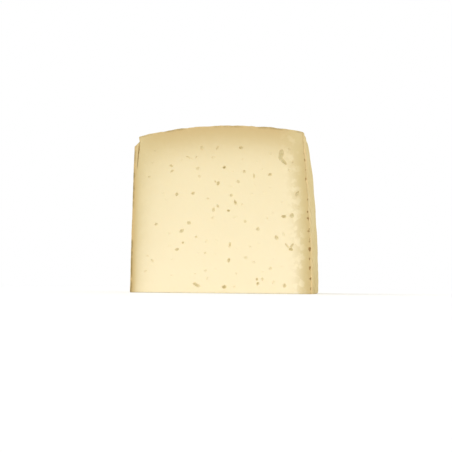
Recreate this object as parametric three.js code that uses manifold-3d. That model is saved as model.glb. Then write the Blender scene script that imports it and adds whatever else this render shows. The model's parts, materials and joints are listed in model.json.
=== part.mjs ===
// A wedge of semi-cured sheep cheese: a quarter of a drum-shaped wheel with a plaited rim and ribbed faces.
// It stands on one cut face. The other cut face rises square to it at the front (-Y), from the edge where the
// two meet up to the rim. X runs along the axis of the wheel. Units are millimetres, +Z is up.
import * as THREE from "three";
import { ConvexGeometry } from "three/addons/geometries/ConvexGeometry.js";
import { mergeVertices } from "three/addons/utils/BufferGeometryUtils.js";
import Module from "manifold-3d";

// Driving dimensions of the wheel and of the cut
const wheelRadius = 95.3; // at the fullest part of the rim
const wheelHeight = 104; // along the axis, over the ribs of both flat faces
const wedgeAngle = THREE.MathUtils.degToRad(90); // a quarter of the wheel
const rimFall = 5.8; // how far the rim draws in from its fullest part to its edges
const rimEdgeRound = 3.5; // how far the rim drops away in the round of its edges
const rimEdgePower = 24; // the higher, the closer the round keeps to the edges
const faceDome = { left: 1.3, right: 4.8 }; // how much each flat face falls away towards the rim

// The plait that the mould's band presses into the rim: rows of strands, each row leaning the other way
const plaitRows = 7;
const plaitRowHeight = 13.4;
const plaitStrandPitch = 9.5; // along the rim
const plaitDepth = 0.8;
const plaitLean = 0.9; // strand pitches that a strand leans over from one side of its row to the other
const plaitPower = { strand: 0.8, row: 0.6 }; // below 1 the tops are broad and the grooves narrow
const plaitRowShare = 0.45; // of the depth that the rows keep between strands

// The ribs that the mould's mat presses into the flat faces
const ribPitch = 4.46;
const ribDepth = { left: 0.4, right: 0.6 };
const ribShift = { left: 0.1, right: 0.44 }; // in rib pitches
const ribPower = 0.7;
const ribSlant = THREE.MathUtils.degToRad(35); // between the ribs and the front cut face's normal

// Eyes, the small openings that show where the paste is cut. Each row is one that stands out on the front
// face: across from the middle and up from the lower edge, both to half a millimetre, then length, width, and
// tilt of the length in degrees.
const largeEyes = [
  [35.5, 77.5, 5.4, 3.2, 75],
  [37, 73.5, 5.4, 2.6, 120],
  [38.5, 26.5, 5.2, 1.8, 130],
  [41, 25.5, 3.6, 2, 60],
  [33, 31, 3.4, 2.6, 120],
  [36.5, 43, 2.8, 2.1, 0],
  [41, 43.5, 3.2, 2.4, 40],
  [44, 55.5, 3.2, 2, 60],
  [9, 51, 3.6, 2.2, 115],
  [7, 54.5, 2.2, 1.9, 0],
  [-1.5, 61.5, 3.2, 2.2, 145],
  [2.5, 71, 2.1, 1.9, 0],
  [-3.5, 47, 2.5, 1.8, 80],
  [22, 36, 2.2, 2, 0],
  [6, 18.5, 2.5, 1.9, 80],
  [6.5, 27, 2.8, 1.6, 85],
  [-13, 5, 4, 2.1, 160],
  [3, 3, 2.3, 1.9, 20],
  [22, 6, 2.2, 1.8, 60],
  [37, 4.5, 2.7, 2.1, 80],
  [-22, 35, 2.7, 1.8, 40],
  [-28.5, 71.5, 2.8, 1.8, 110],
  [-20, 77.5, 3.4, 1.9, 10],
];
const smallEyesFront = 9;
const smallEyesUnder = 20;
const smallEyeSizes = [1.3, 2.8]; // the least and the most that one measures along its length
const smallEyeWidths = [0.55, 0.95]; // as shares of its length
const smallEyeSeeds = { front: 11, under: 23 };
const eyeDepthShare = 0.45; // depth below the cut, as a share of the eye's width
const eyeMargin = 9; // plain paste between the random eyes and the rind
const restSpot = { across: 0, out: 40, clear: 6 }; // a spot on the lower face that stays plain

// The chip out of the rind at the front face's upper left corner, and the crack that runs down from it, each
// by its corners on the front face, across from the middle and up from the lower edge
const chipCorners = [[-48.6, 90.5], [-47.9, 88.5], [-47.5, 86.9], [-48.7, 85.8], [-50.4, 84.2]];
const chipDepth = 10; // where the chip runs out at the flat face
const chipRise = 1.5; // from the chip's lower corner at the front to its far end
const chipLean = 7; // how far its inner side leans out until it is clear of the rim
const crackCorners = [[-47.3, 87], [-48.9, 71.7], [-48.2, 86.2]];
const crackDepth = 2;

// How finely curved faces are divided
const wheelSegments = 216;
const rimSteps = 40;
const ribSteps = 4;
const domeSteps = 18;
const eyeSides = 8;
const eyeRings = 6;

const halfHeight = wheelHeight / 2;
const sawCut = wheelHeight * 2; // long enough to reach past the wheel on every side
const { PI, abs, cos, floor, hypot, round, sin } = Math;

const wasm = await Module();
wasm.setup();

// A closed geometry as a solid, with shared vertices merged and collapsed triangles dropped
function solidFrom(geometry) {
  const bare = geometry.clone();
  bare.deleteAttribute("normal");
  bare.deleteAttribute("uv");
  const merged = mergeVertices(bare, 1e-4);
  const corners = merged.index.array;
  const triVerts = [];
  for (let i = 0; i < corners.length; i += 3) {
    const [a, b, c] = corners.subarray(i, i + 3);
    if (a !== b && b !== c && c !== a) triVerts.push(a, b, c);
  }
  return new wasm.Manifold(
    new wasm.Mesh({
      numProp: 3,
      vertProperties: merged.attributes.position.array,
      triVerts: new Uint32Array(triVerts),
    }),
  );
}

function geometryFrom(solid) {
  const mesh = solid.getMesh();
  const geometry = new THREE.BufferGeometry();
  geometry.setAttribute("position", new THREE.BufferAttribute(mesh.vertProperties, 3));
  geometry.setIndex(new THREE.BufferAttribute(mesh.triVerts, 1));
  return geometry;
}

// Moves each vertex of a geometry to where the given function of its place puts it
function reshape(geometry, move) {
  const places = geometry.attributes.position;
  const place = new THREE.Vector3();
  for (let i = 0; i < places.count; i++) {
    place.fromBufferAttribute(places, i);
    move(place);
    places.setXYZ(i, place.x, place.y, place.z);
  }
  return geometry;
}

// An outline drawn out to both sides of its plane
function drawnOut(points, length, steps = 1) {
  const outline = new THREE.Shape(points.map(([x, y]) => new THREE.Vector2(x, y)));
  const options = { depth: length, steps, bevelEnabled: false };
  return new THREE.ExtrudeGeometry(outline, options).translate(0, 0, -length / 2);
}

// Axes with X along the wheel's axis, Y along the spoke at an angle above the lower cut, and Z square to both
function spokeFrame(angle) {
  const along = new THREE.Vector3(1, 0, 0);
  const out = new THREE.Vector3(0, cos(angle), sin(angle));
  return new THREE.Matrix4().makeBasis(along, out, along.clone().cross(out));
}

// Mulberry32, a small seeded generator of numbers from 0 to 1
function seededDraw(seed) {
  return () => {
    seed = (seed + 0x6d2b79f5) | 0;
    let t = Math.imul(seed ^ (seed >>> 15), seed | 1);
    t ^= t + Math.imul(t ^ (t >>> 7), t | 61);
    return ((t ^ (t >>> 14)) >>> 0) / 4294967296;
  };
}

// Radius of the plain rim at a place along the wheel's axis
function rimRadius(across) {
  const share = across / halfHeight;
  return wheelRadius - rimFall * share ** 2 - rimEdgeRound * share ** rimEdgePower;
}

// How far the plait sinks below the plain rim
function plaitSink(across, angle) {
  const row = across / plaitRowHeight + plaitRows / 2;
  const inRow = row - floor(row);
  const lean = floor(row) % 2 ? plaitLean : -plaitLean;
  const strands = round((2 * PI * wheelRadius) / plaitStrandPitch);
  const strand = (strands * angle) / (2 * PI) + lean * (inRow - 0.5);
  const strandHeight = abs(cos(PI * strand)) ** plaitPower.strand;
  const rowHeight = abs(sin(PI * inRow)) ** plaitPower.row;
  return plaitDepth * (1 - rowHeight * (plaitRowShare + (1 - plaitRowShare) * strandHeight));
}

// The whole wheel with its plaited rim, still without the flat faces
function plaitedWheel() {
  const profile = [new THREE.Vector2(0, -halfHeight)];
  for (let i = 0; i <= rimSteps; i++) {
    const across = halfHeight * ((2 * i) / rimSteps - 1);
    profile.push(new THREE.Vector2(rimRadius(across), across));
  }
  profile.push(new THREE.Vector2(0, halfHeight));
  const wheel = new THREE.LatheGeometry(profile, wheelSegments).rotateZ(-PI / 2);
  reshape(wheel, (place) => {
    const radius = hypot(place.y, place.z);
    if (radius < 1) return;
    const share = 1 - plaitSink(place.x, Math.atan2(place.z, place.y)) / radius;
    place.y *= share;
    place.z *= share;
  });
  return solidFrom(wheel);
}

// The space between the two flat faces: ribs drawn out straight, then domed towards the axis
function ribbedSlab() {
  const steps = round((wheelRadius / ribPitch + 2) * ribSteps);
  const sideOutline = (side, sign) =>
    Array.from({ length: steps + 1 }, (_, i) => {
      const rib = i / ribSteps - 1;
      const groove = ribDepth[side] * (1 - abs(sin(PI * (rib + ribShift[side]))) ** ribPower);
      return [sign * (halfHeight - groove), rib * ribPitch];
    });
  const points = [...sideOutline("right", 1), ...sideOutline("left", -1).reverse()];
  const slab = drawnOut(points, sawCut, domeSteps).applyMatrix4(spokeFrame(wedgeAngle - ribSlant));
  reshape(slab, (place) => {
    const share = (hypot(place.y, place.z) / wheelRadius) ** 2;
    place.x += place.x > 0 ? -faceDome.right * share : faceDome.left * share;
  });
  return solidFrom(slab);
}

// The space between the two cuts, a triangle drawn in the wheel's plane
function cutSpace() {
  const far = [sawCut * cos(wedgeAngle), sawCut * sin(wedgeAngle)];
  const turn = new THREE.Matrix4().makeBasis(
    new THREE.Vector3(0, 1, 0),
    new THREE.Vector3(0, 0, 1),
    new THREE.Vector3(1, 0, 0),
  );
  return solidFrom(drawnOut([[0, 0], [sawCut, 0], far], sawCut).applyMatrix4(turn));
}

// One eye on the cut face at the given angle
function eyeSolid(cutAngle, [across, out, length, width, tilt]) {
  const eye = new THREE.SphereGeometry(1, eyeSides, eyeRings);
  eye.rotateX(PI / 2).scale(length / 2, width / 2, width * eyeDepthShare);
  eye.rotateZ(THREE.MathUtils.degToRad(tilt)).translate(across, out, 0);
  return solidFrom(eye.applyMatrix4(spokeFrame(cutAngle)));
}

// Small eyes spread over a cut face, clear of one another and of the places that stay plain
function scatterEyes(count, seed, taken) {
  const draw = seededDraw(seed);
  const between = (low, high) => low + (high - low) * draw();
  const placed = [...taken];
  while (placed.length < taken.length + count) {
    const across = between(eyeMargin - halfHeight, halfHeight - eyeMargin);
    const out = between(eyeMargin, wheelRadius - 2 * eyeMargin);
    const length = between(...smallEyeSizes);
    const eye = [across, out, length, length * between(...smallEyeWidths), between(0, 180)];
    const clear = placed.every(([a, o, l]) => hypot(a - across, o - out) > (l + length) / 2 + 1);
    if (clear) placed.push(eye);
  }
  return placed.slice(taken.length);
}

// A block with flat sides around corners that are given across, up and out in front of the front face
function frontBlock(corners) {
  const points = corners.map((corner) => new THREE.Vector3(...corner));
  return solidFrom(new ConvexGeometry(points).applyMatrix4(spokeFrame(wedgeAngle)));
}

// What is broken out of the rind at the upper left corner: it narrows towards its far end in the flat face
function rindChip() {
  const outside = -halfHeight - chipDepth;
  const above = wheelRadius + chipDepth;
  const low = chipCorners.at(-1)[1];
  const front = [...chipCorners, [outside, low], [outside, above], [chipCorners[0][0] - chipLean, above]];
  const flat = faceDome.left - halfHeight;
  const far = [[flat, above], [flat, low + chipRise], [outside, low]];
  return frontBlock([
    ...front.flatMap(([across, up]) => [[across, up, 1], [across, up, 0]]),
    ...far.map(([across, up]) => [across, up, -chipDepth]),
  ]);
}

// The crack, a groove that narrows to a line
function rindCrack() {
  const [mouth, foot, side] = crackCorners;
  const bottom = [[(mouth[0] + side[0]) / 2, mouth[1]], foot];
  return frontBlock([
    ...crackCorners.flatMap(([across, up]) => [[across, up, 1], [across, up, 0]]),
    ...bottom.map(([across, up]) => [across, up, -crackDepth]),
  ]);
}

function cheeseWedge() {
  const restEye = [restSpot.across, restSpot.out, 2 * restSpot.clear];
  const frontEyes = [...largeEyes, ...scatterEyes(smallEyesFront, smallEyeSeeds.front, largeEyes)];
  const underEyes = scatterEyes(smallEyesUnder, smallEyeSeeds.under, [restEye]);
  const holes = [
    ...frontEyes.map((eye) => eyeSolid(wedgeAngle, eye)),
    ...underEyes.map((eye) => eyeSolid(0, eye)),
    rindChip(),
    rindCrack(),
  ];
  const plain = plaitedWheel().intersect(ribbedSlab()).intersect(cutSpace());
  const geometry = geometryFrom(holes.reduce((cheese, hole) => cheese.subtract(hole), plain));
  geometry.computeBoundingBox();
  const centre = geometry.boundingBox.getCenter(new THREE.Vector3());
  geometry.translate(-centre.x, -centre.y, 0).computeVertexNormals();
  const paste = new THREE.MeshStandardMaterial({ color: 0xf6e6bb, roughness: 0.6, metalness: 0 });
  const mesh = new THREE.Mesh(geometry, paste);
  mesh.name = "cheese_wedge";
  return mesh;
}

const part = new THREE.Group();
part.add(cheeseWedge());

export default part;
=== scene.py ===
import json
import math
import random

import bpy
import numpy as np
from mathutils import Matrix, Quaternion, Vector

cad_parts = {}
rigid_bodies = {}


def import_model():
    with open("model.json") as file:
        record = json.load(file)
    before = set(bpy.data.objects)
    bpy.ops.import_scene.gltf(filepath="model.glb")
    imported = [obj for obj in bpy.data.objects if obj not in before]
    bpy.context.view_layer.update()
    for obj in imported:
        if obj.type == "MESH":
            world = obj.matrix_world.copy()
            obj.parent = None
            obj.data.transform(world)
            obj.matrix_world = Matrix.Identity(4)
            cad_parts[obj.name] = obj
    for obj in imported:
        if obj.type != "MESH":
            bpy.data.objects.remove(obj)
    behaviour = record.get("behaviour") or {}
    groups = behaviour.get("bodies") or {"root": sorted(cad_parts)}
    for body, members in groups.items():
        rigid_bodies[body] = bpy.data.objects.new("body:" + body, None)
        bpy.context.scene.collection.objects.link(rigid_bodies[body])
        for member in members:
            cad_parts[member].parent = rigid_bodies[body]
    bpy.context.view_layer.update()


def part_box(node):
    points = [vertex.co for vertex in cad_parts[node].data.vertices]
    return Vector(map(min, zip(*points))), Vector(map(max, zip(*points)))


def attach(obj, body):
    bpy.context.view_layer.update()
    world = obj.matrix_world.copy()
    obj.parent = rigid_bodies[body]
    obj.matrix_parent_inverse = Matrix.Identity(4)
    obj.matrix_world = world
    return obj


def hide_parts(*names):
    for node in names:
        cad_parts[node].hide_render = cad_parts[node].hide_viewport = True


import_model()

mm = 0.001
flat = 0.01 * mm  # a point this close to a plane lies on it
merge = 0.001 * mm  # points closer than this are one
node = "cheese_wedge"
low, high = [Vector(corner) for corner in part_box(node)]
frontY = low.y  # plane of the upright cut face
radius = high.y - low.y  # of the wheel, at the fullest part of its rim
halfHeight = (high.x - low.x) / 2  # of the wheel, at its axis


# small helpers

def deselectAll():
    bpy.ops.object.select_all(action="DESELECT")


def onlySelect(obj):
    deselectAll()
    obj.select_set(True)
    bpy.context.view_layer.objects.active = obj


def selectPoints(obj, chosen):
    # ends in edit mode with only these points selected
    onlySelect(obj)
    bpy.ops.object.mode_set(mode="EDIT")
    bpy.ops.mesh.select_mode(type="VERT")
    bpy.ops.mesh.select_all(action="DESELECT")
    bpy.ops.object.mode_set(mode="OBJECT")
    obj.data.vertices.foreach_set("select", chosen)
    bpy.ops.object.mode_set(mode="EDIT")


def getPoints(obj):
    points = np.empty(len(obj.data.vertices) * 3)
    obj.data.vertices.foreach_get("co", points)
    return points.reshape(-1, 3)


def setPoints(obj, points):
    obj.data.vertices.foreach_set("co", np.asarray(points, dtype=float).ravel())
    obj.data.update()


def fadeIn(value, start, end):
    share = np.clip((value - start) / (end - start), 0, 1)
    return share * share * (3 - 2 * share)


def lumps(points, size, seed):
    # soft noise from -1 to 1, with lumps of the given size
    cells = 32
    table = np.random.RandomState(seed).uniform(-1, 1, (cells, cells, cells))
    place = points / size
    cell = np.floor(place).astype(int)
    share = fadeIn(place - cell, 0, 1)
    total = np.zeros(len(points))
    for corner in np.ndindex(2, 2, 2):
        weight = np.prod(np.where(corner, share, 1 - share), axis=1)
        i, j, k = ((cell + corner) % cells).T
        total += weight * table[i, j, k]
    return total


# the wheel that the wedge is cut from

wheel = {
    "rimFall": 5.8 * mm,  # the rim draws in this much towards its edges
    "rimEdgeRound": 3.5 * mm,
    "rimEdgePower": 24,  # the higher, the closer the round keeps to the edges
    "domeLeft": 1.3 * mm,  # the flat faces fall away this much towards the rim
    "domeRight": 4.8 * mm,
    "gridAcross": 136,
    "gridOut": 122,
    "spinSteps": 96,
    "frontAngle": math.radians(89.99),  # what lies above it is on the front cut
    "smoothAngle": math.radians(40),
    "edgeSmooths": 2,
    "edgeFactor": 0.5,
    "rimBand": 1.4 * mm,  # smoothed along the cut edges
    "faceBand": 1.6 * mm,
    "cutBand": 0.35 * mm,
    "wideSize": 26 * mm,  # of the wide lumps, the fine ones and the grit
    "fineSize": 9 * mm,
    "gritSize": 1.6 * mm,
    "rimLump": 0.3 * mm,
    "rimGrit": 0.12 * mm,
    "cutGrit": 0.3 * mm,  # what the knife crumbles off the rim at the front cut
    "cutGritReach": 2.5 * mm,
    "lumpLeft": 0.25 * mm,  # of the flat faces
    "lumpRight": 0.7 * mm,
    "cutWave": 0.1 * mm,  # a knife never leaves a true plane
    "cutWaveSizes": (14 * mm, 5 * mm),
    "seeds": {"wide": 1, "fine": 2, "longWave": 3, "shortWave": 4, "grit": 5},
}


def rimRadius(across):
    share = np.abs(across) / halfHeight
    return radius - wheel["rimFall"] * share ** 2 - wheel["rimEdgeRound"] * share ** wheel["rimEdgePower"]


def faceHalf(out, isRight):
    dome = np.where(isRight, wheel["domeRight"], wheel["domeLeft"])
    return halfHeight - dome * (out / radius) ** 2


def wheelPlace(points):
    # distance from the axis, and angle above the lower cut face
    back = points[:, 1] - frontY
    return np.hypot(back, points[:, 2]), np.arctan2(points[:, 2], back)


def spinWedge():
    deselectAll()
    bpy.ops.mesh.primitive_grid_add(
        x_subdivisions=wheel["gridAcross"], y_subdivisions=wheel["gridOut"], size=1)
    wedge = bpy.context.object
    wedge.name = "cheeseWedge"
    # the section of the wheel, lying on the floor
    points = getPoints(wedge)
    across = points[:, 0] * 2
    out = points[:, 1] + 0.5
    points[:, 0] = across * faceHalf(out * radius, across > 0)
    points[:, 1] = frontY + out * rimRadius(points[:, 0])
    points[:, 2] = 0
    setPoints(wedge, points)
    # turned up about the wheel's axis to the front cut
    bpy.ops.object.mode_set(mode="EDIT")
    bpy.ops.mesh.select_all(action="SELECT")
    bpy.ops.mesh.spin(
        steps=wheel["spinSteps"], angle=math.pi / 2, center=(0, frontY, 0), axis=(-1, 0, 0))
    bpy.ops.mesh.select_all(action="SELECT")
    bpy.ops.mesh.remove_doubles(threshold=merge)
    bpy.ops.mesh.normals_make_consistent(inside=False)
    bpy.ops.object.mode_set(mode="OBJECT")
    return wedge


# what the mould leaves on the rind

plait = {
    "rows": 7,
    "rowHeight": 13.4 * mm,
    "strandPitch": 9.5 * mm,
    "lean": 0.9,  # strand pitches from one side of a row to the other
    "depth": 0.8 * mm,
    "uneven": 0.35,
    "strandPower": 0.7,  # below 1 the tops are broad and the grooves narrow
    "rowPower": 0.6,
    "rowShare": 0.4,  # of the depth that the rows keep between strands
    "scallop": 0.07,  # how far strand ends push the row lines about, in rows
    "border": (3.5 * mm, 8.4 * mm),  # plain band along each edge of the rim, and where it has ended
    "reach": 6 * mm,  # how far into the paste the warp dies out
    "cutFlatter": 0.55,  # the knife has pressed the plait flat at the front cut
    "cutReach": 9 * mm,
}

ribs = {
    "pitch": 4.46 * mm,
    "depthLeft": 0.4 * mm,
    "depthRight": 0.55 * mm,
    "shiftLeft": 0.1,
    "shiftRight": 0.44,
    "slant": math.radians(35),  # from the front cut's normal
    "power": 0.6,
    "uneven": 0.4,
    "wander": 0.4 * mm,
    "worn": 0.8,  # smooth at the left front edge
    "tear": 0.1,  # groove ends tear open at the right front edge
    "tearReach": 2.5 * mm,
    "reach": 5 * mm,
}


def strandPlace(across, angle):
    # row and place in it, and the strand's number along the rim
    along = angle * radius / plait["strandPitch"]
    row = across / plait["rowHeight"] + plait["rows"] / 2
    row = row + plait["scallop"] * np.cos(2 * np.pi * along)
    inRow = row - np.floor(row)
    lean = np.where(np.floor(row) % 2 == 1, plait["lean"], -plait["lean"])
    return inRow, along + lean * (inRow - 0.5)


def plaitSink(across, angle):
    # 0 on top of a strand, 1 at the bottom of a groove
    inRow, strand = strandPlace(across, angle)
    strandTop = np.abs(np.cos(np.pi * strand)) ** plait["strandPower"]
    rowTop = np.abs(np.sin(np.pi * inRow)) ** plait["rowPower"]
    return 1 - rowTop * (plait["rowShare"] + (1 - plait["rowShare"]) * strandTop)


def ribSink(points, wander):
    # 0 on a rib, 1 at the bottom of a groove
    turn = math.pi / 2 - ribs["slant"]
    out = (points[:, 1] - frontY) * math.cos(turn) + points[:, 2] * math.sin(turn)
    shift = np.where(points[:, 0] > 0, ribs["shiftRight"], ribs["shiftLeft"])
    rib = (out + wander) / ribs["pitch"] + shift
    return 1 - np.abs(np.sin(np.pi * rib)) ** ribs["power"]


def pressRind(wedge):
    points = getPoints(wedge)
    out, angle = wheelPlace(points)
    isRight = points[:, 0] > 0
    half = faceHalf(out, isRight)
    rim = rimRadius(points[:, 0])
    nearRim = fadeIn(out, rim - plait["reach"], rim)
    nearFace = fadeIn(np.abs(points[:, 0]), half - ribs["reach"], half)
    fromCut = (math.pi / 2 - angle) * out
    seeds = wheel["seeds"]
    wide = lumps(points, wheel["wideSize"], seeds["wide"])
    fine = lumps(points, wheel["fineSize"], seeds["fine"])
    grit = lumps(points, wheel["gritSize"], seeds["grit"])
    # plait and lumps of the rim
    fromEdge = half - np.abs(points[:, 0])
    plaited = fadeIn(fromEdge, *plait["border"])
    plaited = plaited * (1 - plait["cutFlatter"] * np.exp(-fromCut / plait["cutReach"]))
    sink = plait["depth"] * plaitSink(points[:, 0], angle) * plaited * (1 + plait["uneven"] * fine)
    gritDepth = wheel["rimGrit"] + wheel["cutGrit"] * np.exp(-fromCut / wheel["cutGritReach"])
    sink += 0.5 * wheel["rimLump"] * wide + 0.5 * gritDepth * grit
    newOut = out - nearRim * sink
    share = np.where(out > mm, newOut / np.maximum(out, mm), 1)
    # ribs and lumps of the flat faces, worn smooth at the left front edge and torn at the right one
    depth = np.where(isRight, ribs["depthRight"], ribs["depthLeft"])
    atCut = np.exp(-fromCut / ribs["tearReach"])
    depth = depth * np.where(isRight, 1 + ribs["tear"] * atCut, 1 - ribs["worn"] * np.sqrt(atCut))
    groove = depth * ribSink(points, ribs["wander"] * wide * (1 - atCut)) * (1 + ribs["uneven"] * fine)
    faceLump = np.where(isRight, wheel["lumpRight"], wheel["lumpLeft"])
    inward = nearFace * (groove + 0.5 * faceLump * fine)
    points[:, 0] -= np.sign(points[:, 0]) * inward
    points[:, 1] = frontY + (points[:, 1] - frontY) * share
    points[:, 2] *= share
    # the front cut is a little wavy
    onFront = angle > wheel["frontAngle"]
    longWave, shortWave = wheel["cutWaveSizes"]
    wave = lumps(points[onFront], longWave, seeds["longWave"])
    wave += 0.5 * lumps(points[onFront], shortWave, seeds["shortWave"])
    points[onFront, 1] += wheel["cutWave"] * (wave + 1)
    setPoints(wedge, points)


def softenEdges(wedge):
    points = getPoints(wedge)
    out = wheelPlace(points)[0]
    onFront = points[:, 1] < frontY + wheel["cutBand"]
    onFloor = points[:, 2] < flat
    half = faceHalf(out, points[:, 0] > 0)
    atRim = out > rimRadius(points[:, 0]) - wheel["rimBand"]
    atFace = np.abs(points[:, 0]) > half - wheel["faceBand"]
    atEdge = ((onFront | onFloor) & (atRim | atFace)) | (onFront & onFloor)
    selectPoints(wedge, atEdge)
    bpy.ops.mesh.vertices_smooth(factor=wheel["edgeFactor"], repeat=wheel["edgeSmooths"])
    bpy.ops.object.mode_set(mode="OBJECT")


# eyes, the small openings of the cut paste, in millimetres and degrees
# those that stand out on the front: across from the middle, up from the lower edge, length, width, tilt

eyes = {
    "large": [
        (35, 78, 5, 2.4, 80), (36, 74, 5, 2, 130), (34.5, 76, 3, 2, 100), (28.5, 66.5, 2.4, 1.7, 10),
        (44, 55.5, 3, 1.7, 60), (36.5, 43, 2.5, 1.8, 0), (41, 43.5, 2.6, 2.2, 40), (32.5, 31, 3, 2, 115),
        (38.5, 26.5, 4.8, 1.2, 130), (41, 26.5, 3, 1.5, 60), (40.5, 24.5, 2.2, 2, 0),
        (37, 4.5, 2.4, 1.8, 80), (22, 36, 2, 2, 0), (24.5, 8, 1.8, 1.6, 40), (21.5, 8, 1.6, 1.5, 90),
        (22, 5.5, 2, 1.7, 90), (19.5, 66, 2.6, 1.3, 95), (14, 68.5, 1.8, 1.7, 0), (12, 82, 2, 1.6, 0),
        (9, 51, 3.2, 1.6, 120), (6.5, 55, 2, 1.8, 0), (5, 46.5, 1.8, 1.6, 0), (6, 27, 2.8, 1.3, 85),
        (5.5, 18.5, 2.5, 1.7, 80), (3, 3.5, 2.4, 2, 15), (2.5, 71, 2, 1.8, 0), (-1, 62, 2.5, 1.8, 60),
        (-2.5, 63, 1.6, 1.2, 125), (-1, 49, 2, 1.5, 130), (-3.5, 47, 2.4, 1.6, 80), (-1.5, 82, 2.4, 1.3, 65),
        (-13, 4.5, 4.5, 2.2, 155), (-15.5, 56.5, 2, 1.6, 10), (-18, 77, 4, 1.1, 155), (-22, 35, 2.6, 1.6, 40),
        (-21, 28.5, 1.7, 1.6, 0), (-24.5, 24.5, 2.4, 1.6, 15), (-25, 56, 2, 1.5, 85),
        (-28.5, 72.5, 2.2, 1.7, 150), (-28, 69.5, 2.2, 1.6, 45), (-37, 39, 2, 1.7, 15),
    ],
    "small": 40,  # the rest of the front's, by their number
    "faint": 34,
    "underside": 90,
    "depthShares": {"large": 0.44, "small": 0.32, "faint": 0.2},  # of an eye's width
    "depthSpread": (0.9, 1.15),
    "lengths": (1.3, 2.4),
    "widthShares": (0.5, 0.95),
    "apart": 4,
    "fromSides": 9,
    "fromEdge": 3.5,
    "fromRim": 12,
    "grow": 1.1,
    "uneven": 0.25,
    "lump": 0.45,  # of an eye's length
    "grain": 0.22,
    "grainShare": 0.6,
    "grainSeed": 500,  # beyond every eye's own
    "largeFrom": 2.4,  # longer ones get a finer mesh
    "seed": 5,
}


def scatterEyes(count, taken, rng):
    # spread over a cut face, each clear of those before it
    least, most = eyes["lengths"]
    reach = halfHeight / mm - eyes["fromSides"]
    placed = []
    while len(placed) < count:
        across = rng.uniform(-reach, reach)
        out = rng.uniform(eyes["fromEdge"], radius / mm - eyes["fromRim"])
        near = [eye for eye in taken + placed if math.hypot(across - eye[0], out - eye[1]) < eyes["apart"]]
        if not near:
            length = least + (most - least) * rng.random() ** 2
            width = length * rng.uniform(*eyes["widthShares"])
            placed.append((across, out, length, width, rng.uniform(0, 180)))
    return placed


def eyePattern(subdivisions):
    deselectAll()
    bpy.ops.mesh.primitive_ico_sphere_add(subdivisions=subdivisions, radius=0.5)
    return bpy.context.object


def placeEye(patterns, eye, depthShare, faceFrame, seed, cutters):
    across, out, length, width = [value * mm for value in eye[:4]]
    pattern = patterns[1] if eye[2] > eyes["largeFrom"] else patterns[0]
    cutter = bpy.data.objects.new("eyeCutter", pattern.data.copy())
    cutters.objects.link(cutter)
    points = getPoints(cutter)
    rough = lumps(points, eyes["lump"], seed)
    rough += eyes["grainShare"] * lumps(points, eyes["grain"], seed + eyes["grainSeed"])
    points *= (1 + eyes["uneven"] * rough)[:, None]
    deepness = depthShare * random.Random(seed).uniform(*eyes["depthSpread"])
    points *= np.array([length, width, 2 * deepness * width]) * eyes["grow"]
    setPoints(cutter, points)
    place = Matrix.Translation((across, out, 0)) @ Matrix.Rotation(math.radians(eye[4]), 4, "Z")
    cutter.data.transform(faceFrame @ place)


# pits where the mat's grooves end at the right front edge

pits = {
    "first": 3.1,  # height of the lowest, in millimetres
    "pitch": 5.45,
    "count": 16,
    "inset": 0.35,
    "length": 2.1,
    "width": 1.45,
    "depthShare": 0.45,
    "lengthSpread": (0.75, 1.25),
    "widthSpread": (0.75, 1.2),
    "upSpread": (-0.35, 0.35),
    "acrossSpread": (-0.3, 0.2),
    "tilts": (90, 90, 105, 125, 70),
    "tornShare": 0.45,  # so many tear on in a second place
    "tornAcross": (-0.9, 0.2),
    "tornUp": (-1.1, 0.9),
    "tornWidth": 0.8,
    "tornTilt": 60,
    "seed": 41,
}


def edgePits():
    rng = random.Random(pits["seed"])
    made = []
    for i in range(pits["count"]):
        up = pits["first"] + i * pits["pitch"] + rng.uniform(*pits["upSpread"])
        half = float(faceHalf(up * mm, True)) / mm
        length = pits["length"] * rng.uniform(*pits["lengthSpread"])
        width = pits["width"] * rng.uniform(*pits["widthSpread"])
        across = half - pits["inset"] + rng.uniform(*pits["acrossSpread"])
        made.append((across, up, length, width, rng.choice(pits["tilts"])))
        if rng.random() < pits["tornShare"]:
            across += rng.uniform(*pits["tornAcross"])
            up += rng.choice(pits["tornUp"])
            made.append((across, up, width, pits["tornWidth"] * width, pits["tornTilt"]))
    return made


def eyeCutters():
    rng = random.Random(eyes["seed"])
    cutters = bpy.data.collections.new("cutters")
    bpy.context.scene.collection.children.link(cutters)
    patterns = [eyePattern(2), eyePattern(3)]
    front = Matrix(((1, 0, 0, 0), (0, 0, -1, frontY), (0, 1, 0, 0), (0, 0, 0, 1)))
    under = Matrix.Translation((0, frontY, 0))
    large = eyes["large"]
    small = scatterEyes(eyes["small"], large, rng)
    faint = scatterEyes(eyes["faint"], large + small, rng)
    share = eyes["depthShares"]
    jobs = [(front, eye, share["large"]) for eye in large]
    jobs += [(front, eye, share["small"]) for eye in small]
    jobs += [(front, eye, share["faint"]) for eye in faint]
    jobs += [(front, pitBrownAndShade, pits["depthShare"]) for pitBrownAndShade in edgePits()]
    jobs += [(under, eye, share["small"]) for eye in scatterEyes(eyes["underside"], [], rng)]
    for seed, (faceFrame, eye, depthShare) in enumerate(jobs):
        placeEye(patterns, eye, depthShare, faceFrame, seed + 1, cutters)
    for pattern in patterns:
        bpy.data.objects.remove(pattern)
    return cutters


# the flake off the rind at the front's upper left corner, and the crack that runs down from it,
# each by its corners on the front face: across from the middle and up from the lower edge

flake = {
    "corners": [(-48.6, 90.5), (-47.9, 88.5), (-47.5, 86.9), (-48.7, 85.8), (-50.4, 84.2)],
    "outside": [(-60.0, 84.2), (-60.0, 106.0), (-56.0, 106.0)],
    "far": [(-50.7, 106.0), (-50.7, 85.7), (-60.0, 84.2)],
    "depth": 10,
    "rough": 0.2 * mm,
    "roughSize": 1.5 * mm,
    "cuts": 5,
    "inside": -46 * mm,  # it lies left of this
    "above": 84 * mm,
    "seed": 61,
}

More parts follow.
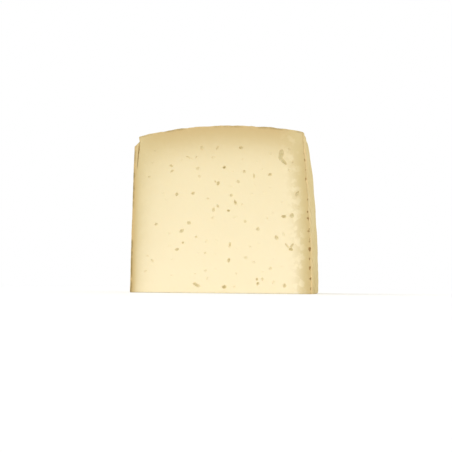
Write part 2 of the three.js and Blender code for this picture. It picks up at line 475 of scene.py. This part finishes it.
crack = {
    "corners": [(-46.9, 87.4), (-48.9, 70.6), (-48.3, 86.0)],
    "bottom": [(-47.6, 86.5), (-48.8, 71.6)],
    "depth": 0.65,
    "rough": 0.14 * mm,
    "roughSize": 1.5 * mm,
    "cuts": 5,
    "seed": 71,
}


def hullCutter(corners, job, cutters):
    # a block with flat sides around its corners, then roughened
    deselectAll()
    bpy.ops.mesh.primitive_circle_add(vertices=len(corners), fill_type="NOTHING")
    cutter = bpy.context.object
    setPoints(cutter, [(x * mm, frontY + y * mm, z * mm) for x, y, z in corners])
    bpy.ops.object.mode_set(mode="EDIT")
    bpy.ops.mesh.select_all(action="SELECT")
    bpy.ops.mesh.convex_hull()
    bpy.ops.mesh.select_all(action="SELECT")
    bpy.ops.mesh.quads_convert_to_tris()
    bpy.ops.mesh.subdivide(number_cuts=job["cuts"])
    bpy.ops.mesh.normals_make_consistent(inside=False)
    bpy.ops.object.mode_set(mode="OBJECT")
    points = getPoints(cutter)
    shift = np.stack([lumps(points, job["roughSize"], job["seed"] + i) for i in range(3)], axis=1)
    setPoints(cutter, points + job["rough"] * shift)
    for owner in list(cutter.users_collection):
        owner.objects.unlink(cutter)
    cutters.objects.link(cutter)


def breakRind(cutters):
    front = flake["corners"] + flake["outside"]
    corners = [(x, y, z) for x, z in front for y in (-1, 0)]
    corners += [(x, flake["depth"], z) for x, z in flake["far"]]
    hullCutter(corners, flake, cutters)
    corners = [(x, y, z) for x, z in crack["corners"] for y in (-1, 0)]
    corners += [(x, crack["depth"], z) for x, z in crack["bottom"]]
    hullCutter(corners, crack, cutters)


def cutOut(wedge, cutters):
    onlySelect(wedge)
    cut = wedge.modifiers.new("eyes", "BOOLEAN")
    cut.operation = "DIFFERENCE"
    cut.operand_type = "COLLECTION"
    cut.collection = cutters
    cut.solver = "MANIFOLD"
    bpy.ops.object.modifier_apply(modifier=cut.name)
    for cutter in list(cutters.objects):
        bpy.data.objects.remove(cutter)
    bpy.data.collections.remove(cutters)


def cleanCut(wedge):
    # slivers that the cut leaves go, and so do points that only split an edge
    onlySelect(wedge)
    bpy.ops.object.mode_set(mode="EDIT")
    bpy.ops.mesh.select_all(action="SELECT")
    bpy.ops.mesh.remove_doubles(threshold=merge)
    bpy.ops.object.mode_set(mode="OBJECT")
    ends = np.empty(len(wedge.data.edges) * 2, dtype=int)
    wedge.data.edges.foreach_get("vertices", ends)
    edgesAtPoint = np.bincount(ends, minlength=len(wedge.data.vertices))
    selectPoints(wedge, edgesAtPoint == 2)
    bpy.ops.mesh.dissolve_verts()
    bpy.ops.object.mode_set(mode="OBJECT")


# colour follows how dry the paste is and how deep a place lies

ripening = {
    "rimReach": 12.8 * mm,  # the paste is drier this far in from the rim
    "rimMost": 0.9,
    "rightReach": (7.4 * mm, 2.2 * mm),  # at the axis, and what it gains by the rim
    "rightPower": 2.6,  # how sharply the right zone ends
    "cornerEase": 0.2,  # both zones together are no drier than one
    "leftStart": 1.8 * mm,
    "leftReach": (3.6 * mm, 6.2 * mm),
    "flecks": 0.2,
    "rightFlecks": 1.1,
    "cutSlack": 0.22 * mm,  # waves of the cut are no hollows
    "hollowFull": 1.5 * mm,
    "pitFull": 0.35 * mm,
    "pitWithin": 4.5 * mm,
    "lineStart": 0.8 * mm,
    "lineEnd": 1.7 * mm,
    "lineRim": 0.6,
    "crustReach": 2.4 * mm,
    "crustLeft": 0.85,
    "crustRight": 0.4,
    "rimCrustReach": 8 * mm,
    "rimCrust": 0.75,
    "rimFade": (-1 * mm, 2 * mm),  # from the flat face's relief to the rim's
    "borderFade": (5 * mm, 9 * mm),
    "paleLipAndHighlightReach": 7 * mm,  # the knife has dragged the ribs pale beside the right front edge, and a painted highlight lies along it
}


def setAttribute(obj, name, values):
    layer = obj.data.attributes.new(name, "FLOAT", "POINT")
    layer.data.foreach_set("value", np.asarray(values, dtype=np.float32))


def pastePoints(wedge):
    # which points belong to a face of the cut paste
    isPaste = np.zeros(len(wedge.data.vertices), dtype=bool)
    for polygon in wedge.data.polygons:
        if polygon.material_index == 0:
            isPaste[list(polygon.vertices)] = True
    return isPaste


def markSurface(wedge):
    points = getPoints(wedge)
    out, angle = wheelPlace(points)
    isRight = points[:, 0] > 0
    fromAxis = out / radius
    fromFace = np.maximum(faceHalf(out, isRight) - np.abs(points[:, 0]), 0)
    fromRim = np.maximum(rimRadius(points[:, 0]) - out, 0)
    # dry zones under the rind
    rimDry = np.exp(-(fromRim / ripening["rimReach"]) ** 2)
    rightReach = ripening["rightReach"][0] + ripening["rightReach"][1] * fromAxis
    leftReach = ripening["leftReach"][0] + ripening["leftReach"][1] * fromAxis
    rightDry = np.exp(-(fromFace / rightReach) ** ripening["rightPower"])
    leftDry = np.exp(-np.maximum(fromFace - ripening["leftStart"], 0) / leftReach)
    sideDry = np.where(isRight, rightDry, leftDry)
    dry = 1 - (1 - ripening["rimMost"] * rimDry) * (1 - sideDry)
    dry -= ripening["cornerEase"] * rimDry * rightDry
    setAttribute(wedge, "dry", dry)
    # pale flecks lie where it turns from dry to fresh, most of all at the right
    halfDry = ripening["flecks"] * dry * (1 - dry)
    halfDry += ripening["rightFlecks"] * rightDry * (1 - rightDry) * isRight
    setAttribute(wedge, "halfDry", halfDry)
    setAttribute(wedge, "fromAxis", fromAxis)
    # eyes, pits and the crack; how deep a place lies sets its colour, partly as painted shade
    depth = np.minimum(points[:, 1] - frontY - ripening["cutSlack"], points[:, 2])
    depth = np.where(pastePoints(wedge), np.maximum(depth, 0), 0)
    onFlake = (points[:, 0] < flake["inside"]) & (points[:, 2] > flake["above"])
    depth = np.where(onFlake, 0, depth)
    setAttribute(wedge, "hollow", np.clip(depth / ripening["hollowFull"], 0, 1))
    # the pits and the crack turn brown with depth near the faces, partly as painted shade
    nearFace = fromFace < ripening["pitWithin"]
    setAttribute(wedge, "pitBrownAndShade", np.where(nearFace, fadeIn(depth, 0, ripening["pitFull"]), 0))
    # thin dark line where the rind is cut through
    fromRind = np.minimum(np.where(isRight, 1, fromFace), fromRim)
    line = 1 - fadeIn(fromRind, ripening["lineStart"], ripening["lineEnd"])
    setAttribute(wedge, "rindLine", line * np.where(fromRim < fromFace, ripening["lineRim"], 1))
    # browner right under the rind
    crust = np.exp(-(fromFace / ripening["crustReach"]) ** 2)
    crust *= np.where(isRight, ripening["crustRight"], ripening["crustLeft"])
    rimCrust = ripening["rimCrust"] * np.exp(-fromRim / ripening["rimCrustReach"]) * (1 - sideDry)
    setAttribute(wedge, "crust", np.maximum(crust, rimCrust))
    # relief of the rind, which also sets the painted shade in its grooves
    onRim = fadeIn(fromFace - fromRim, *ripening["rimFade"])
    wander = ribs["wander"] * lumps(points, wheel["wideSize"], wheel["seeds"]["wide"])
    groove = onRim * plaitSink(points[:, 0], angle) + (1 - onRim) * ribSink(points, wander)
    setAttribute(wedge, "groove", np.clip(groove, 0, 1))
    setAttribute(wedge, "strand", strandPlace(points[:, 0], angle)[1])
    setAttribute(wedge, "rim", onRim)
    setAttribute(wedge, "border", onRim * (1 - fadeIn(fromFace, *ripening["borderFade"])))
    # paler towards the right front edge: dragged rind and a painted highlight
    behindCut = np.maximum(points[:, 1] - frontY, 0)
    setAttribute(wedge, "paleLipAndHighlight", np.exp(-behindCut / ripening["paleLipAndHighlightReach"]) * isRight)


# materials

def srgb(red, green, blue):
    def toLinear(value):
        value = value / 255
        return value / 12.92 if value <= 0.04045 else ((value + 0.055) / 1.055) ** 2.4
    return (toLinear(red), toLinear(green), toLinear(blue), 1)


class Nodes:
    # a material's node tree, with short calls for the nodes that it uses

    def __init__(self, name):
        self.material = bpy.data.materials.new(name)
        self.material.use_nodes = True
        self.tree = self.material.node_tree
        self.shader = self.tree.nodes["Principled BSDF"]

    def add(self, kind, settings=(), inputs=()):
        made = self.tree.nodes.new(kind)
        for key, value in dict(settings).items():
            setattr(made, key, value)
        for key, value in dict(inputs).items():
            self.feed(made.inputs[key], value)
        return made

    def feed(self, socket, value):
        if isinstance(value, bpy.types.NodeSocket):
            self.tree.links.new(value, socket)
        else:
            socket.default_value = value

    def attribute(self, name):
        return self.add("ShaderNodeAttribute", {"attribute_name": name}).outputs["Fac"]

    def coordinates(self, turn=(0, 0, 0), scale=(1, 1, 1)):
        place = self.add("ShaderNodeTexCoord").outputs["Object"]
        turned = self.add("ShaderNodeMapping", {}, {"Vector": place, "Rotation": turn})
        inputs = {"Vector": turned.outputs["Vector"], "Scale": scale}
        return self.add("ShaderNodeMapping", {}, inputs).outputs["Vector"]

    def noise(self, vector, scale, detail=2.0, roughness=0.5):
        inputs = {"Vector": vector, "Scale": scale, "Detail": detail, "Roughness": roughness}
        return self.add("ShaderNodeTexNoise", {}, inputs).outputs["Fac"]

    def math(self, operation, *values):
        made = self.add("ShaderNodeMath", {"operation": operation})
        for socket, value in zip(made.inputs, values):
            self.feed(socket, value)
        return made.outputs[0]

    def ramp(self, factor, stops):
        made = self.add("ShaderNodeValToRGB", {}, {"Fac": factor})
        elements = made.color_ramp.elements
        while len(elements) < len(stops):
            elements.new(0.5)
        for element, (position, colour) in zip(elements, stops):
            element.position = position
            element.color = colour
        return made.outputs["Color"]

    def mask(self, factor, start, end, most=1.0):
        # 0 below start, most above end
        return self.ramp(factor, [(start, (0, 0, 0, 1)), (end, (most, most, most, 1))])

    def mix(self, factor, first, second):
        made = self.add("ShaderNodeMix", {"data_type": "RGBA"})
        self.feed(made.inputs[0], factor)
        self.feed(made.inputs[6], first)
        self.feed(made.inputs[7], second)
        return made.outputs[2]

    def bump(self, height, strength, distance, below=None):
        inputs = {"Height": height, "Strength": strength, "Distance": distance}
        made = self.add("ShaderNodeBump", {}, inputs)
        if below is not None:
            self.feed(made.inputs["Normal"], below)
        return made.outputs["Normal"]


pasteLook = {
    "middle": srgb(247, 233, 197),
    "outer": srgb(233, 217, 173),
    "dry": srgb(206, 186, 132),
    "crust": srgb(204, 173, 118),
    # eye walls are olive, and deeper in an eye the colour darkens as painted shade
    "eyeWall": srgb(216, 202, 155),
    "eyeDeepTintAndShade": srgb(192, 174, 122),
    # brown of the pits and the crack, with painted shade in them
    "pitBrownAndShade": srgb(168, 134, 78),
    "rindLine": srgb(158, 136, 84),
    "roughness": 0.55,
    "specular": 0.3,
    "glow": 0.08,  # light that comes back out of the paste
    "glowRadius": (1, 0.8, 0.5),
    "glowScale": 1.5 * mm,
}


def pasteMaterial():
    nodes = Nodes("cutPaste")
    place = nodes.coordinates()
    cloud = nodes.noise(place, 45, 3)
    grain = nodes.noise(place, 900, 3, 0.6)
    pores = nodes.noise(place, 320, 2)
    breaks = nodes.noise(place, 160, 2)
    fleck = nodes.noise(place, 280, 3, 0.55)
    # paler at the wheel's middle, straw-coloured where it has dried under the rind
    fresh = nodes.ramp(nodes.attribute("fromAxis"), [(0, pasteLook["middle"]), (1, pasteLook["outer"])])
    dry = nodes.attribute("dry")
    patchy = nodes.math("MULTIPLY_ADD", cloud, 0.14, -0.07)
    paleFlecks = nodes.math("MULTIPLY", nodes.mask(fleck, 0.48, 0.62), nodes.attribute("halfDry"))
    dryness = nodes.math("SUBTRACT", nodes.math("ADD", dry, patchy), paleFlecks)
    dryness.node.use_clamp = True
    colour = nodes.mix(dryness, fresh, pasteLook["dry"])
    colour = nodes.mix(nodes.attribute("crust"), colour, pasteLook["crust"])
    # eyes take their olive tint and darken with depth as painted shade
    hollow = nodes.attribute("hollow")
    eyeTintAndShade = nodes.ramp(hollow, [(0.3, pasteLook["eyeWall"]), (1, pasteLook["eyeDeepTintAndShade"])])
    colour = nodes.mix(nodes.mask(hollow, 0, 0.5), colour, eyeTintAndShade)
    # the cut rind shows as a broken dark line; the pits along it and the crack are brown, their own colour
    # with painted shade in these notches
    broken = nodes.mask(breaks, 0.42, 0.6)
    line = nodes.math("MULTIPLY", nodes.attribute("rindLine"), broken)
    colour = nodes.mix(line, colour, pasteLook["rindLine"])
    colour = nodes.mix(nodes.attribute("pitBrownAndShade"), colour, pasteLook["pitBrownAndShade"])
    nodes.feed(nodes.shader.inputs["Base Color"], colour)
    rough = nodes.math("MULTIPLY_ADD", pores, 0.2, pasteLook["roughness"] - 0.1)
    nodes.feed(nodes.shader.inputs["Roughness"], rough)
    normal = nodes.bump(pores, 0.25, 0.3 * mm)
    nodes.feed(nodes.shader.inputs["Normal"], nodes.bump(grain, 0.15, 0.15 * mm, normal))
    nodes.shader.inputs["Subsurface Weight"].default_value = pasteLook["glow"]
    nodes.shader.inputs["Subsurface Radius"].default_value = pasteLook["glowRadius"]
    nodes.shader.inputs["Subsurface Scale"].default_value = pasteLook["glowScale"]
    nodes.shader.inputs["Specular IOR Level"].default_value = pasteLook["specular"]
    return nodes.material


rindLook = {
    "faceRib": srgb(222, 202, 143),
    # the ribs' grooves, darker as painted shade, and the mat's threads
    "faceGrooveShadeAndThread": srgb(184, 156, 98),
    # dragged pale rind at the right front edge, with a painted highlight
    "paleLipAndHighlight": srgb(238, 208, 150),
    "rimStrand": srgb(214, 196, 142),
    # the plait's grooves, darker as painted shade, and its fibre lines
    "rimGrooveShadeAndFibre": srgb(166, 142, 88),
    "border": srgb(204, 170, 92),
    "bloom": srgb(226, 212, 168),
    "stain": srgb(158, 128, 74),
    "roughness": 0.72,
    "specular": 0.3,
    "fibres": 4,  # to a strand
}


def rindMaterial():
    nodes = Nodes("pressedRind")
    place = nodes.coordinates()
    cloud = nodes.noise(place, 38, 4, 0.55)
    blotch = nodes.noise(place, 110, 4, 0.6)
    grain = nodes.noise(place, 1100, 3, 0.65)
    # threads of the mat run along the ribs
    alongRibs = nodes.coordinates((ribs["slant"], 0, 0), (900, 90, 1500))
    thread = nodes.noise(alongRibs, 1, 3, 0.55)
    # fibres of the plait run along the strands
    wobble = nodes.math("MULTIPLY_ADD", blotch, 2.2, -1.1)
    turns = nodes.math("MULTIPLY_ADD", nodes.attribute("strand"), 2 * math.pi * rindLook["fibres"], wobble)
    fibre = nodes.math("MULTIPLY_ADD", nodes.math("SINE", turns), 0.5, 0.5)
    onRim = nodes.attribute("rim")
    groove = nodes.attribute("groove")
    # painted shade darkens the grooves of ribs and plait
    face = nodes.mix(nodes.mask(groove, 0.2, 1.0), rindLook["faceRib"], rindLook["faceGrooveShadeAndThread"])
    face = nodes.mix(nodes.mask(thread, 0.5, 0.75, 0.35), face, rindLook["faceGrooveShadeAndThread"])
    # pale patches at the right front edge: dragged rind with a painted highlight
    raggedLipAndHighlight = nodes.math("MULTIPLY", nodes.attribute("paleLipAndHighlight"), nodes.mask(blotch, 0.35, 0.55))
    face = nodes.mix(raggedLipAndHighlight, face, rindLook["paleLipAndHighlight"])
    rim = nodes.mix(groove, rindLook["rimStrand"], rindLook["rimGrooveShadeAndFibre"])
    borderPart = nodes.math("MULTIPLY", nodes.attribute("border"), nodes.mask(blotch, 0.2, 0.45, 0.9))
    rim = nodes.mix(borderPart, rim, rindLook["border"])
    rim = nodes.mix(nodes.mask(fibre, 0.55, 1.0, 0.25), rim, rindLook["rimGrooveShadeAndFibre"])
    colour = nodes.mix(onRim, face, rim)
    colour = nodes.mix(nodes.mask(cloud, 0.52, 0.74, 0.4), colour, rindLook["bloom"])
    colour = nodes.mix(nodes.mask(blotch, 0.58, 0.78, 0.25), colour, rindLook["stain"])
    nodes.feed(nodes.shader.inputs["Base Color"], colour)
    rough = nodes.math("MULTIPLY_ADD", blotch, 0.25, rindLook["roughness"] - 0.1)
    nodes.feed(nodes.shader.inputs["Roughness"], rough)
    weave = nodes.mix(onRim, thread, fibre)
    normal = nodes.bump(weave, 0.4, 0.3 * mm)
    normal = nodes.bump(blotch, 0.35, 0.5 * mm, normal)
    nodes.feed(nodes.shader.inputs["Normal"], nodes.bump(grain, 0.3, 0.2 * mm, normal))
    nodes.shader.inputs["Specular IOR Level"].default_value = rindLook["specular"]
    return nodes.material


def dressWedge(wedge):
    # slot 0 is the cut paste, slot 1 the rind
    wedge.data.materials.clear()
    wedge.data.materials.append(pasteMaterial())
    wedge.data.materials.append(rindMaterial())


def sortFaces(wedge):
    # while the cuts are still true planes, every other face is rind
    for polygon in wedge.data.polygons:
        centre = polygon.center
        onCut = centre.y < frontY + flat or centre.z < flat
        polygon.material_index = 0 if onCut else 1


wedge = spinWedge()
print("wedge spun,", len(wedge.data.polygons), "faces")
dressWedge(wedge)
sortFaces(wedge)
pressRind(wedge)
softenEdges(wedge)
print("rind pressed")
cutters = eyeCutters()
breakRind(cutters)
cutOut(wedge, cutters)
cleanCut(wedge)
print("eyes cut,", len(wedge.data.polygons), "faces")
markSurface(wedge)
onlySelect(wedge)
bpy.ops.object.shade_smooth_by_angle(angle=wheel["smoothAngle"])
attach(wedge, "root")
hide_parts(node)


# floor, light and camera

studio = {
    "floorSize": 6.0,
    "floor": (0.95, 0.95, 0.94, 1),
    "floorRoughness": 0.8,
    "world": 1.0,
    "sunStrength": 0.5,
    "sunFrom": (-0.53, -0.63, 0.57),
    "sunAngle": math.radians(40),
}


def makeFloor():
    deselectAll()
    bpy.ops.mesh.primitive_plane_add(size=studio["floorSize"])
    floor = bpy.context.object
    floor.name = "floor"
    nodes = Nodes("paleFloor")
    nodes.shader.inputs["Base Color"].default_value = studio["floor"]
    nodes.shader.inputs["Roughness"].default_value = studio["floorRoughness"]
    floor.data.materials.append(nodes.material)


def makeSun():
    deselectAll()
    bpy.ops.object.light_add(type="SUN", location=studio["sunFrom"])
    sun = bpy.context.object
    sun.name = "softSun"
    sun.data.energy = studio["sunStrength"]
    sun.data.angle = studio["sunAngle"]
    sun.rotation_euler = Vector(studio["sunFrom"]).to_track_quat("Z", "Y").to_euler()


def lightWorld():
    world = bpy.data.worlds.new("studioWhite")
    bpy.context.scene.world = world
    world.use_nodes = True
    world.node_tree.nodes["Background"].inputs["Color"].default_value = (1, 1, 1, 1)
    world.node_tree.nodes["Background"].inputs["Strength"].default_value = studio["world"]


view = {
    "azimuth": math.radians(11.2),
    "elevation": math.radians(-3.99),
    "roll": math.radians(0.51),
    "distance": 499 * mm,
    "aim": Vector((3.75 * mm, frontY, 37.78 * mm)),
    "focalPixels": 886.5,
    "framePixels": 452,
    "sensor": 36,
    "nearest": 10 * mm,
}


def makeCamera():
    level = math.cos(view["elevation"])
    back = Vector((
        math.sin(view["azimuth"]) * level,
        -math.cos(view["azimuth"]) * level,
        math.sin(view["elevation"]),
    ))
    deselectAll()
    bpy.ops.object.camera_add(location=view["aim"] + back * view["distance"])
    camera = bpy.context.object
    facing = back.to_track_quat("Z", "Y") @ Quaternion((0, 0, 1), view["roll"])
    camera.rotation_euler = facing.to_euler()
    camera.data.sensor_width = view["sensor"]
    camera.data.lens = view["focalPixels"] / view["framePixels"] * view["sensor"]
    camera.data.clip_start = view["nearest"]
    bpy.context.scene.camera = camera


makeFloor()
makeSun()
lightWorld()
makeCamera()
bpy.context.scene.view_settings.view_transform = "Standard"
print("studio ready")
